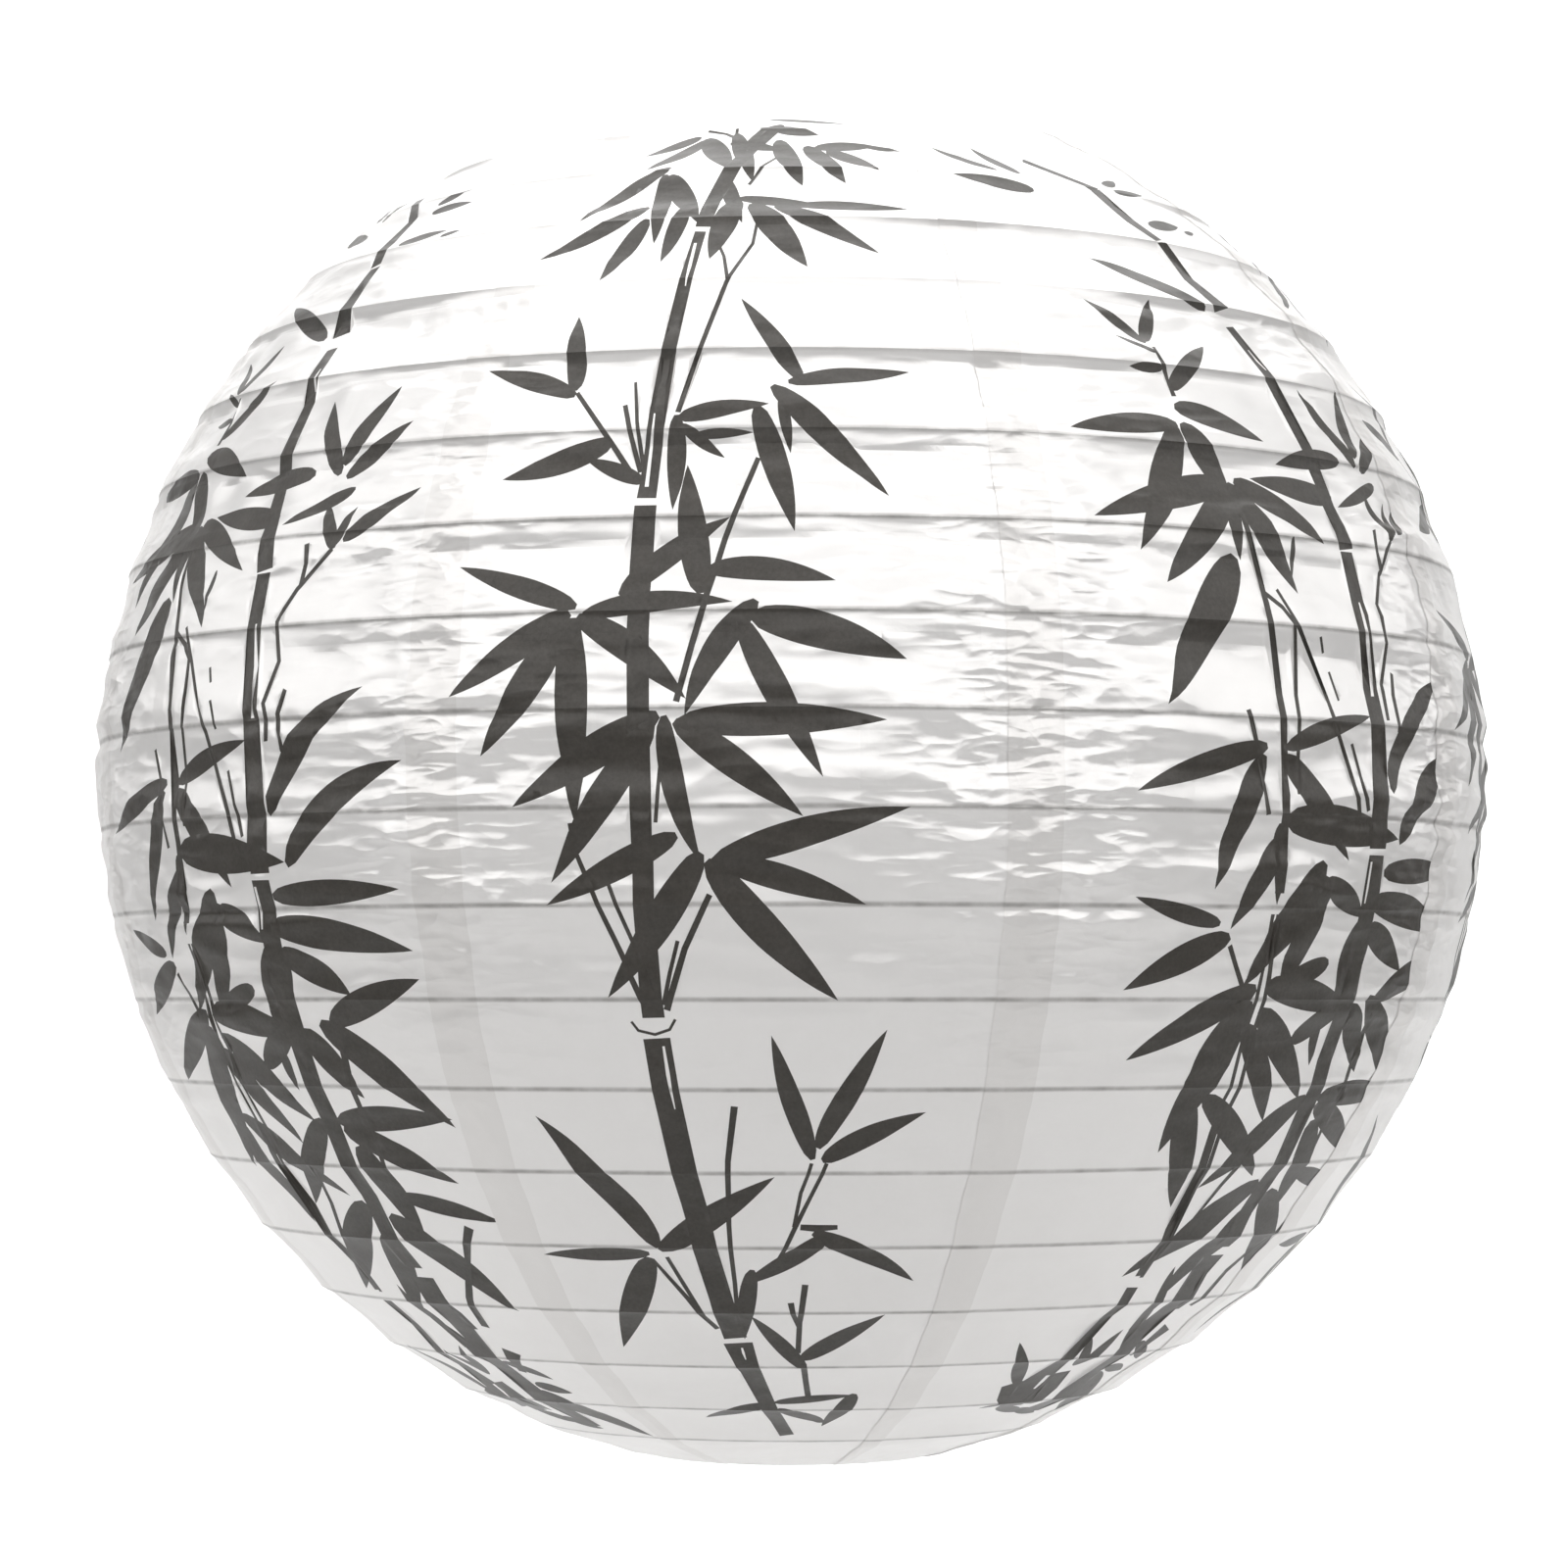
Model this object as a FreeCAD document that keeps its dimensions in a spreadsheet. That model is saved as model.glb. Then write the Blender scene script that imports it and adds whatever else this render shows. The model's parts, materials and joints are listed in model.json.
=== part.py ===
import FreeCAD, Part
import os
import Sketcher

# Round paper lantern shade: printed paper gores over wire hoops, held open and hung
# by a welded wire spreader whose plate takes a lamp holder.
# Millimetres. +Z up. The origin is the centre of the lamp-holder hole, in the plane of the
# plate's top face. The shade hangs below it.

doc = FreeCAD.newDocument("PaperLantern")

# ------------------------------------------------------------------ driving dimensions
DRIVING = [
    ("shade_diameter", 400.0, "outside diameter of the paper at a rib"),
    ("opening_diameter", 84.0, "end ring, wire centre to wire centre"),
    ("gore_count", 8, "paper gores round the shade"),
    ("first_seam", -115.0, "where the first gore starts, in degrees from +X"),
    ("rib_count", 21, "wire ribs between the two end rings"),
    ("top_band", 17.0, "paper between the top ring and the first rib, along the curve"),
    ("bottom_band", 32.5, "paper between the last rib and the bottom ring, along the curve"),
    ("paper_wall", 0.4, "wall of the paper solids, thicker than the real paper"),
    ("seam_overlap", 15.0, "how far a gore laps over the next one, at the equator"),
    ("seam_bite", 1.0, "how far the lap starts back over its own gore, at the equator"),
    ("hem_depth", 12.0, "turned-in paper below each end ring, along the curve"),
    ("glue_gap", 0.1, "clearance between a wire and the paper over it"),
    ("rib_wire", 1.0, "diameter of the rib wire"),
    ("ring_wire", 2.0, "diameter of the end-ring wire"),
    ("holder_hole", 42.0, "diameter of the hole the lamp holder passes through"),
    ("plate_diameter", 60.0, "outside diameter of the holder plate"),
    ("plate_sheet", 1.5, "thickness of the holder plate"),
    ("leg_wire", 3.0, "diameter of the spreader's leg wire"),
    ("leg_clearance", 1.7, "gap between a leg and the hem round an end ring"),
    ("leg_bend", 4.5, "bend radius of the leg wire, on its centre line"),
    ("foot_length", 8.0, "straight inward run at the foot of a leg"),
    ("hook_wire", 2.5, "diameter of the ring hooks"),
    ("hook_reach", 4.0, "how far a hook runs out past the ring wire's centre"),
    ("seat_gap", 0.1, "clearance between a hook and the hem it bears on"),
    ("weld_sink", 0.3, "how far a welded wire sinks into what it is welded to"),
]

# ------------------------------------------------------------------ values that follow
DERIVED = [
    ("paper_outer", "shade_diameter / 2"),
    ("paper_inner", "paper_outer - paper_wall"),
    ("rib_sphere", "paper_inner - glue_gap - rib_wire / 2"),
    ("hem_inner", "ring_wire / 2 + glue_gap"),
    ("hem_outer", "hem_inner + paper_wall"),
    ("ring_sphere", "paper_inner - glue_gap - hem_outer"),
    ("opening_radius", "opening_diameter / 2"),
    ("end_latitude", "acos(opening_radius / ring_sphere) / 1deg"),
    ("ring_height", "sin(end_latitude * 1deg) * ring_sphere"),
    ("curve_degree", "paper_outer * pi / 180"),
    ("first_latitude", "end_latitude - top_band / curve_degree"),
    ("last_latitude", "bottom_band / curve_degree - end_latitude"),
    ("rib_step", "(first_latitude - last_latitude) / (rib_count - 1)"),
    ("gore_angle", "360 / gore_count"),
    ("lap_outer", "paper_outer + paper_wall"),
    ("lap_angle", "seam_overlap / curve_degree"),
    ("bite_angle", "seam_bite / curve_degree"),
    ("hem_latitude", "end_latitude - hem_depth / curve_degree"),
    ("strip_outer", "paper_inner - glue_gap"),
    ("strip_inner", "strip_outer - paper_wall"),
    ("arm_level", "weld_sink - plate_sheet - leg_wire / 2"),
    ("hook_level", "-plate_sheet - seat_gap - hook_wire / 2"),
    ("ring_to_hook", "hem_outer + seat_gap + hook_wire / 2"),
    ("top_ring_level", "hook_level + ring_to_hook"),
    ("centre_level", "top_ring_level - ring_height"),
    ("bottom_ring_level", "centre_level - ring_height"),
    ("leg_x", "opening_radius - hem_outer - leg_clearance - leg_wire / 2"),
    ("arm_start", "(holder_hole + plate_diameter) / 4"),
    ("shoulder_x", "leg_x - leg_bend"),
    ("hook_end", "opening_radius + hook_reach"),
]

sheet = doc.addObject("Spreadsheet::Sheet", "Sizes")
row = 1
for alias, value, note in DRIVING:
    sheet.set("A%d" % row, alias)
    sheet.set("B%d" % row, str(value))
    sheet.setAlias("B%d" % row, alias)
    sheet.set("C%d" % row, note)
    row += 1
names = [entry[0] for entry in DRIVING] + [entry[0] for entry in DERIVED]
for alias, formula in DERIVED:
    sheet.set("A%d" % row, alias)
    sheet.set("B%d" % row, "=" + formula)
    sheet.setAlias("B%d" % row, alias)
    row += 1
doc.recompute()


def cell(alias):
    """The sheet's value under this alias, as a plain number."""
    value = getattr(sheet, alias)
    return float(getattr(value, "Value", value))


def bound(text):
    """An expression over the sheet: every alias in the text gets the sheet's name before it."""
    words = []
    word = ""
    for letter in text + " ":
        if letter.isalnum() or letter == "_":
            word += letter
            continue
        words.append("Sizes." + word if word in names else word)
        words.append(letter)
        word = ""
    return "".join(words).strip()


nodes = []


def keep(feature, label):
    """Label a finished sub-part and put it on the list of pieces to write."""
    feature.Label = label
    nodes.append(feature)
    return feature


def bind(feature, **formulas):
    """Bind properties of a feature to expressions over the sheet."""
    for path, formula in formulas.items():
        feature.setExpression(path.replace("__", "."), bound(formula))
    return feature


def place(feature, z="0", turn="0"):
    """Lift a feature to height z and turn it about the lantern's axis, in degrees."""
    feature.Placement = FreeCAD.Placement(
        FreeCAD.Vector(0, 0, 0), FreeCAD.Rotation(FreeCAD.Vector(0, 0, 1), 0)
    )
    feature.setExpression("Placement.Base.z", bound(z))
    feature.setExpression("Placement.Rotation.Angle", bound(turn))
    return feature


def origin_plane(body, role):
    """One of a body's own origin planes, found by its role."""
    for feature in body.Origin.OriginFeatures:
        if feature.Role == role:
            return feature
    raise ValueError("no origin plane " + role)


def new_sketch(body, name, role):
    """An empty sketch on one of the body's own origin planes."""
    sketch = body.newObject("Sketcher::SketchObject", name)
    sketch.AttachmentSupport = [(origin_plane(body, role), "")]
    sketch.MapMode = "FlatFace"
    return sketch


def fix(sketch, kind, places, name, formula):
    """Add a named dimension to a sketch and bind it to the sheet."""
    start = cell(formula) if formula in names else 1.0
    index = sketch.addConstraint(Sketcher.Constraint(kind, *places, start))
    sketch.renameConstraint(index, name)
    sketch.setExpression("Constraints." + name, bound(formula))


CENTRE = (-1, 1)


# ------------------------------------------------------------------ wires bent into hoops
def hoop(label, radius, wire, level):
    """A closed round hoop of wire about the lantern's axis."""
    ring = doc.addObject("Part::Torus", label)
    bind(ring, Radius1=radius, Radius2=wire + " / 2")
    place(ring, z=level)
    return keep(ring, label)


hoop("top_ring", "opening_radius", "ring_wire", "top_ring_level")
for number in range(1, int(cell("rib_count")) + 1):
    latitude = "(first_latitude - rib_step * %d) * 1deg" % (number - 1)
    hoop(
        "rib_%02d" % number,
        "rib_sphere * cos(%s)" % latitude,
        "rib_wire",
        "centre_level + rib_sphere * sin(%s)" % latitude,
    )
hoop("bottom_ring", "opening_radius", "ring_wire", "bottom_ring_level")


# ------------------------------------------------------------------ paper gores
def shell_sketch(body, name, outer, inner, latitude):
    """A meridian section of a spherical shell between equal latitudes north and south.

    Two arcs about the body's origin joined by two short radial edges.
    """
    sketch = new_sketch(body, name, "XZ_Plane")
    reach = FreeCAD.Vector(0, 0, 0)
    up = FreeCAD.Vector(0, 0, 1)
    half = cell(latitude) * 0.01745329252
    ends = {}
    for ring in (outer, inner):
        circle = Part.Circle(reach, up, cell(ring))
        ends[ring] = sketch.addGeometry(Part.ArcOfCircle(circle, -half, half))
    a, b = ends[outer], ends[inner]
    for point in (1, 2):
        start = sketch.getPoint(a, point)
        end = sketch.getPoint(b, point)
        edge = sketch.addGeometry(Part.LineSegment(start, end))
        sketch.addConstraint(Sketcher.Constraint("Coincident", edge, 1, a, point))
        sketch.addConstraint(Sketcher.Constraint("Coincident", edge, 2, b, point))
    for tag, arc, ring in (("outer", a, outer), ("inner", b, inner)):
        sketch.addConstraint(Sketcher.Constraint("Coincident", arc, 3, *CENTRE))
        fix(sketch, "Radius", (arc,), tag + "_radius", ring)
        height = "%s * sin(%s * 1deg)" % (ring, latitude)
        fix(sketch, "DistanceY", (arc, 1, *CENTRE), tag + "_low", height)
        fix(sketch, "DistanceY", (*CENTRE, arc, 2), tag + "_high", height)
    return sketch


def gore(number):
    """One paper gore, top ring to bottom ring, with a lap that lies outside the next gore."""
    label = "gore_%d" % number
    body = doc.addObject("PartDesign::Body", label)
    web = body.newObject("PartDesign::Revolution", label + "_web")
    web.Profile = shell_sketch(body, label + "_section", "paper_outer", "paper_inner", "end_latitude")
    web.ReferenceAxis = (web.Profile[0], ["V_Axis"])
    bind(web, Angle="gore_angle")
    lap_sketch = shell_sketch(body, label + "_lap_section", "lap_outer", "paper_outer", "end_latitude")
    lap = body.newObject("PartDesign::Revolution", label + "_lap")
    lap.Profile = lap_sketch
    lap.ReferenceAxis = (lap_sketch, ["V_Axis"])
    lap.Type = "TwoAngles"
    bind(lap, Angle="bite_angle", Angle2="lap_angle")
    place(body, z="centre_level", turn="first_seam + gore_angle * %d" % (number - 1))
    return keep(body, label)


for number in range(1, int(cell("gore_count")) + 1):
    gore(number)


# ------------------------------------------------------------------ paper turned in over the end rings
def hem(label, level, side):
    """Paper wrapped round an end ring, with a strip pasted inside the gores.

    side is 1 at the top ring and -1 at the bottom ring.
    """
    wrap = bind(
        doc.addObject("Part::Torus", label + "_wrap"), Radius1="opening_radius", Radius2="hem_outer"
    )
    place(wrap, z=level)
    bore = bind(
        doc.addObject("Part::Torus", label + "_bore"), Radius1="opening_radius", Radius2="hem_inner"
    )
    place(bore, z=level)
    zone = doc.addObject("Part::Sphere", label + "_zone")
    low, high = ("hem_latitude", "end_latitude") if side > 0 else ("-end_latitude", "-hem_latitude")
    bind(zone, Radius="strip_outer", Angle1=low, Angle2=high)
    place(zone, z="centre_level")
    hollow = bind(doc.addObject("Part::Sphere", label + "_hollow"), Radius="strip_inner")
    place(hollow, z="centre_level")
    strip = doc.addObject("Part::Cut", label + "_strip")
    strip.Base, strip.Tool = zone, hollow
    paper = doc.addObject("Part::Fuse", label + "_paper")
    paper.Base, paper.Tool = wrap, strip
    folded = doc.addObject("Part::Cut", label)
    folded.Base, folded.Tool = paper, bore
    return keep(folded, label)


hem("top_hem", "top_ring_level", 1)
hem("bottom_hem", "bottom_ring_level", -1)


# ------------------------------------------------------------------ spreader: plate, legs, hooks
def holder_plate():
    """A flat washer stamped from sheet, with the lamp holder's hole through it."""
    label = "lamp_holder_plate"
    body = doc.addObject("PartDesign::Body", label)
    blank = new_sketch(body, "plate_blank", "XY_Plane")
    circle = Part.Circle(FreeCAD.Vector(0, 0, 0), FreeCAD.Vector(0, 0, 1), cell("plate_diameter") / 2)
    rim = blank.addGeometry(circle)
    blank.addConstraint(Sketcher.Constraint("Coincident", rim, 3, *CENTRE))
    fix(blank, "Diameter", (rim,), "rim_diameter", "plate_diameter")
    pad = body.newObject("PartDesign::Pad", "plate_pad")
    pad.Profile = blank
    pad.Reversed = True
    bind(pad, Length="plate_sheet")
    cut = new_sketch(body, "plate_hole", "XY_Plane")
    circle = Part.Circle(FreeCAD.Vector(0, 0, 0), FreeCAD.Vector(0, 0, 1), cell("holder_hole") / 2)
    hole = cut.addGeometry(circle)
    cut.addConstraint(Sketcher.Constraint("Coincident", hole, 3, *CENTRE))
    fix(cut, "Diameter", (hole,), "hole_diameter", "holder_hole")
    pocket = body.newObject("PartDesign::Pocket", "plate_pocket")
    pocket.Profile = cut
    pocket.Midplane = True
    pocket.Type = "ThroughAll"
    return keep(body, label)


def leg(label, turn):
    """One bent wire: arm out from the plate, shoulder, straight leg, and a foot turned inward."""
    body = doc.addObject("PartDesign::Body", label)
    path = new_sketch(body, label + "_path", "XZ_Plane")
    start, knee = cell("arm_start"), cell("leg_x")
    bend = cell("leg_bend")
    high, low = cell("arm_level"), cell("bottom_ring_level")
    vector = FreeCAD.Vector
    arm = path.addGeometry(Part.LineSegment(vector(start, high, 0), vector(knee - bend, high, 0)))
    shank = path.addGeometry(Part.LineSegment(vector(knee, high - bend, 0), vector(knee, low + bend, 0)))
    foot = path.addGeometry(
        Part.LineSegment(vector(knee - bend, low, 0), vector(knee - bend - cell("foot_length"), low, 0))
    )
    quarter = 1.5707963268
    ring = Part.Circle(vector(knee - bend, high - bend, 0), vector(0, 0, 1), bend)
    shoulder = path.addGeometry(Part.ArcOfCircle(ring, 0, quarter))
    ring = Part.Circle(vector(knee - bend, low + bend, 0), vector(0, 0, 1), bend)
    heel = path.addGeometry(Part.ArcOfCircle(ring, -quarter, 0))
    for first, first_end, second, second_end in (
        (arm, 2, shoulder, 2),
        (shoulder, 1, shank, 1),
        (shank, 2, heel, 2),
        (heel, 1, foot, 1),
    ):
        path.addConstraint(Sketcher.Constraint("Tangent", first, first_end, second, second_end))
    path.addConstraint(Sketcher.Constraint("Horizontal", arm))
    path.addConstraint(Sketcher.Constraint("Vertical", shank))
    path.addConstraint(Sketcher.Constraint("Horizontal", foot))
    fix(path, "Radius", (shoulder,), "shoulder_bend", "leg_bend")
    fix(path, "Radius", (heel,), "heel_bend", "leg_bend")
    fix(path, "DistanceX", (*CENTRE, arm, 1), "arm_from", "arm_start")
    fix(path, "DistanceY", (arm, 1, *CENTRE), "arm_drop", "-arm_level")
    fix(path, "DistanceX", (*CENTRE, shank, 1), "leg_out", "leg_x")
    fix(path, "DistanceY", (foot, 1, *CENTRE), "foot_drop", "-bottom_ring_level")
    fix(path, "DistanceX", (foot, 2, foot, 1), "foot_run", "foot_length")
    section = new_sketch(body, label + "_section", "YZ_Plane")
    section.setExpression("AttachmentOffset.Base.z", bound("arm_start"))
    circle = Part.Circle(vector(0, high, 0), vector(0, 0, 1), cell("leg_wire") / 2)
    round_wire = section.addGeometry(circle)
    section.addConstraint(Sketcher.Constraint("PointOnObject", round_wire, 3, -2))
    fix(section, "DistanceY", (round_wire, 3, *CENTRE), "wire_drop", "-arm_level")
    fix(section, "Diameter", (round_wire,), "wire_size", "leg_wire")
    doc.recompute()
    pipe = body.newObject("PartDesign::AdditivePipe", label + "_wire")
    pipe.Profile = section
    pipe.Spine = (path, ["Edge%d" % (edge + 1) for edge in range(5)])
    place(body, turn=turn)
    return keep(body, label)


def hook(label, side, root, level):
    """A short straight wire welded to a leg, pointing outward beneath or above an end ring.

    side is 1 for the right leg and -1 for the left leg. root is where the wire starts.
    """
    rod = doc.addObject("Part::Cylinder", label)
    bind(rod, Radius="hook_wire / 2", Height="hook_end - " + root)
    outward = FreeCAD.Rotation(FreeCAD.Vector(0, 0, 1), FreeCAD.Vector(side, 0, 0))
    rod.Placement = FreeCAD.Placement(FreeCAD.Vector(0, 0, 0), outward)
    rod.setExpression("Placement.Base.x", bound("%s * %d" % (root, side)))
    rod.setExpression("Placement.Base.z", bound(level))
    return keep(rod, label)


holder_plate()
leg("right_leg", "0")
leg("left_leg", "180")
hook("upper_right_hook", 1, "shoulder_x", "hook_level")
hook("upper_left_hook", -1, "shoulder_x", "hook_level")
hook("lower_right_hook", 1, "leg_x", "bottom_ring_level + ring_to_hook")
hook("lower_left_hook", -1, "leg_x", "bottom_ring_level + ring_to_hook")

# ------------------------------------------------------------------ recompute, check, write
doc.recompute()
for feature in doc.Objects:
    if "Invalid" in feature.State or "Error" in feature.State:
        raise RuntimeError(feature.Name + " did not recompute: " + str(feature.State))
for piece in nodes:
    if piece.Shape.isNull() or not piece.Shape.isValid() or len(piece.Shape.Solids) != 1:
        raise RuntimeError(piece.Label + " is not one valid solid")

os.makedirs("parts", exist_ok=True)
for piece in nodes:
    piece.Shape.exportStep("parts/%s.step" % piece.Label)
print("%d nodes written" % len(nodes))
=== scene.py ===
import json
import math

import bpy
import numpy as np
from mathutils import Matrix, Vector
from mathutils.geometry import delaunay_2d_cdt


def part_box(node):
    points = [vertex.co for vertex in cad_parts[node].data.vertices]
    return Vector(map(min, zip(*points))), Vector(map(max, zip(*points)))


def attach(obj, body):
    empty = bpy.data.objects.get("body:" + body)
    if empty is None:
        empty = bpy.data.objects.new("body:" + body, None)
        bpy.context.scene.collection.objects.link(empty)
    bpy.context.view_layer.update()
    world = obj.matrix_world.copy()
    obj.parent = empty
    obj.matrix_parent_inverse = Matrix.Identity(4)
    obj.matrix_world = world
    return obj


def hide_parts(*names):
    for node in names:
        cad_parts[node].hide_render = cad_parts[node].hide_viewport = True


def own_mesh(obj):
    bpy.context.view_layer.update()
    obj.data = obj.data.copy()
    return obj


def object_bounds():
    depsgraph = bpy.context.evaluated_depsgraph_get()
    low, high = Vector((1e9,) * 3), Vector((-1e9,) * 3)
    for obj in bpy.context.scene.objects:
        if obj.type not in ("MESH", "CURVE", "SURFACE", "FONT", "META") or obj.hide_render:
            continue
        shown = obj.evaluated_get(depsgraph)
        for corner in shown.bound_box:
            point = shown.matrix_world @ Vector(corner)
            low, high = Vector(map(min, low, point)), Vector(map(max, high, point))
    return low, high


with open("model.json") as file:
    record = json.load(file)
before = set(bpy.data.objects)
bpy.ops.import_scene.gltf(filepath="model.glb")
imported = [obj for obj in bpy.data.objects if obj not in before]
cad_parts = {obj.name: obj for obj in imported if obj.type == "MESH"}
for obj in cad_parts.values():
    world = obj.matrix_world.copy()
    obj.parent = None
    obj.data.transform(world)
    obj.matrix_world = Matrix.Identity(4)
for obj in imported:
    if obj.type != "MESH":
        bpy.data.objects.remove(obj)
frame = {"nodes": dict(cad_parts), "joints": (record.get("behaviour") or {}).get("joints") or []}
cad_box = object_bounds()
scene = bpy.context.scene


# ---------------------------------------------------------------- studio
# A pale sweep well below and behind the hanging lantern, one large soft light overhead and five
# tall soft walls of light round the front, whose lower edges stand just above the lantern's
# middle. The camera stands a little below the middle.
lantern_low, lantern_high = cad_box
globe_radius = (lantern_high[0] - lantern_low[0]) / 2
middle_level = (lantern_low[2] + lantern_high[2]) / 2

camera_side, camera_distance, camera_drop = -0.002, 1.30, 0.064
camera_pitch = math.radians(2.73)
camera_data = bpy.data.cameras.new("camera")
camera_data.lens = 102.2
camera_data.sensor_width = 36.0
camera = bpy.data.objects.new("camera", camera_data)
camera.location = (camera_side, -camera_distance, middle_level - camera_drop)
camera.rotation_euler = (math.pi / 2 + camera_pitch, 0.0, 0.0)
scene.collection.objects.link(camera)
scene.camera = camera


class Signal:
    """A shader socket that takes Python arithmetic. Each operation adds one Math node."""

    def __init__(self, tree, socket):
        self.tree = tree
        self.socket = socket

    def math(self, operation, *others):
        node = self.tree.nodes.new("ShaderNodeMath")
        node.operation = operation
        for place, value in enumerate((self, *others)):
            if isinstance(value, Signal):
                self.tree.links.new(value.socket, node.inputs[place])
            else:
                node.inputs[place].default_value = float(value)
        return Signal(self.tree, node.outputs[0])

    def __add__(self, other):
        return self.math("ADD", other)

    def __mul__(self, other):
        return self.math("MULTIPLY", other)

    def __sub__(self, other):
        return self.math("SUBTRACT", other)

    def __truediv__(self, other):
        return self.math("DIVIDE", other)

    def __pow__(self, other):
        return self.math("POWER", other)

    def __rsub__(self, other):
        return (self * -1.0) + other

    __radd__ = __add__
    __rmul__ = __mul__

    def ramp(self, low, high):
        """0 below low, 1 above high, straight between."""
        return self.tree_node("ShaderNodeMapRange", {}, {"Value": self, "From Min": low, "From Max": high})

    def tree_node(self, kind, settings, sockets, output=0):
        return add_node(self.tree, kind, settings, sockets, output)


def add_node(tree, kind, settings, sockets, output=0):
    """Adds any node: its settings first, then a value or link for each named socket."""
    node = tree.nodes.new(kind)
    for name, value in settings.items():
        setattr(node, name, value)
    for name, value in sockets.items():
        if isinstance(value, Signal):
            tree.links.new(value.socket, node.inputs[name])
        else:
            node.inputs[name].default_value = value
    return Signal(tree, node.outputs[output])


def new_material(name):
    """A material with only its output and one Principled shader. Returns material, tree, shader."""
    material = bpy.data.materials.new(name)
    material.use_nodes = True
    tree = material.node_tree
    tree.nodes.clear()
    shader = tree.nodes.new("ShaderNodeBsdfPrincipled")
    out = tree.nodes.new("ShaderNodeOutputMaterial")
    tree.links.new(shader.outputs[0], out.inputs["Surface"])
    return material, tree, shader


def feed(tree, signal, socket):
    """Links a signal to a socket of the shader."""
    tree.links.new(signal.socket, socket)


def surface_mesh(name, points, faces, material):
    """A new smooth object with its place in its mesh, from arrays of points and faces."""
    mesh = bpy.data.meshes.new(name)
    mesh.from_pydata(points.tolist(), [], faces.tolist())
    mesh.polygons.foreach_set("use_smooth", [True] * len(mesh.polygons))
    mesh.materials.append(material)
    piece = bpy.data.objects.new(name, mesh)
    scene.collection.objects.link(piece)
    return piece


def grid_faces(rows, columns, wrap):
    """Quads over a grid of rows by columns, closed across the columns where wrap is true."""
    row, column = np.meshgrid(np.arange(rows - 1), np.arange(columns if wrap else columns - 1), indexing="ij")
    here, right = row * columns + column, row * columns + (column + 1) % columns
    return np.stack([corner.ravel() for corner in (here, here + columns, right + columns, right)], axis=1)


white_sweep, sweep_tree, sweep_shader = new_material("white_sweep")
sweep_shader.inputs["Base Color"].default_value = (0.56, 0.56, 0.56, 1)
sweep_shader.inputs["Roughness"].default_value = 0.9

floor_level = middle_level - 0.62
sweep_width, sweep_front, sweep_back, sweep_rise, sweep_bend = 5.0, -4.5, 2.4, 3.2, 0.8
bend_angles = np.linspace(-math.pi / 2, 0, 24)
bend_y = sweep_back - sweep_bend + sweep_bend * np.cos(bend_angles)
sweep_y = np.concatenate(([sweep_front], bend_y, [sweep_back]))
sweep_z = np.concatenate(([0.0], sweep_bend + sweep_bend * np.sin(bend_angles), [sweep_rise])) + floor_level
sweep_x = np.array([-sweep_width, sweep_width])
sweep_points = np.stack(
    [np.tile(sweep_x, len(sweep_y)), np.repeat(sweep_y, 2), np.repeat(sweep_z, 2)], axis=1
)
sweep = surface_mesh("sweep", sweep_points, grid_faces(len(sweep_y), 2, False)[:, ::-1], white_sweep)

world = bpy.data.worlds.new("studio")
world.use_nodes = True
world.node_tree.nodes["Background"].inputs["Color"].default_value = (1, 1, 1, 1)
world.node_tree.nodes["Background"].inputs["Strength"].default_value = 0.02
scene.world = world
scene.view_settings.view_transform = "Standard"


def soft_light(name, place, target, width, height, watts):
    """A rectangular area light aimed from place to target."""
    data = bpy.data.lights.new(name, "AREA")
    data.shape = "RECTANGLE"
    data.size, data.size_y = width, height
    data.energy = watts
    lamp = bpy.data.objects.new(name, data)
    lamp.location = place
    lamp.rotation_euler = (Vector(target) - Vector(place)).to_track_quat("-Z", "Y").to_euler()
    lamp.visible_camera = False
    scene.collection.objects.link(lamp)


soft_light("overhead", (0, 0.2, middle_level + 1.7), (0, 0.2, middle_level), 2.6, 2.8, 46)
wall_distance, wall_width, wall_height = 2.5, 2.2, 2.5
wall_level = middle_level + 1.32
for azimuth, watts in ((-96, 24), (-48, 30), (0, 30), (48, 30), (96, 24)):
    turn = math.radians(azimuth)
    stand = (wall_distance * math.sin(turn), -wall_distance * math.cos(turn), wall_level)
    soft_light("wall_%d" % azimuth, stand, (0, 0, wall_level), wall_width, wall_height, watts)
soft_light("backdrop_box", (0, 0.9, middle_level + 1.5), (0, 2.4, middle_level + 0.2), 2.4, 0.5, 74)


# ---------------------------------------------------------------- gores
# Eight strips of thin satin paper, top ring to bottom ring, printed with bamboo before they
# are cut. Each is pasted over the wire hoops and laps 15 mm over its neighbour. The paper is
# slightly hollow between every two hoops, tucked in under each one, and crumpled by the laps.
MM = 0.001
gore_count = 8
gore_width = 360.0 / gore_count
first_seam = -115.0
front = -90.0
lap_width = math.degrees(15.0 * MM / globe_radius)
paper_radius = 0.2
lap_lift = 0.14 * MM
lap_steps, body_steps = 9, 75
row_spacing, row_crowding = 0.505, 1.4
hollow_depth, tuck_depth, folded_part = 1.1, 0.55, 0.45
fold_height, crumple_height = 2.9, 1.1
degree_length = math.radians(1.0) * paper_radius


def hoop_height(node):
    low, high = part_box(node)
    return (low[2] + high[2]) / 2


top_level, bottom_level = hoop_height("top_ring"), hoop_height("bottom_ring")
shade_middle = (top_level + bottom_level) / 2
ribs = sorted(name for name in frame["nodes"] if name.startswith("rib_"))
rib_radius = {name: (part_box(name)[1][0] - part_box(name)[0][0]) / 2 for name in ribs}
end_latitude = math.degrees(math.asin((top_level - shade_middle) / 0.198))
hoop_latitudes = np.array(
    [end_latitude]
    + [math.degrees(math.atan2(hoop_height(name) - shade_middle, rib_radius[name])) for name in ribs]
    + [-end_latitude]
)


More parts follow.
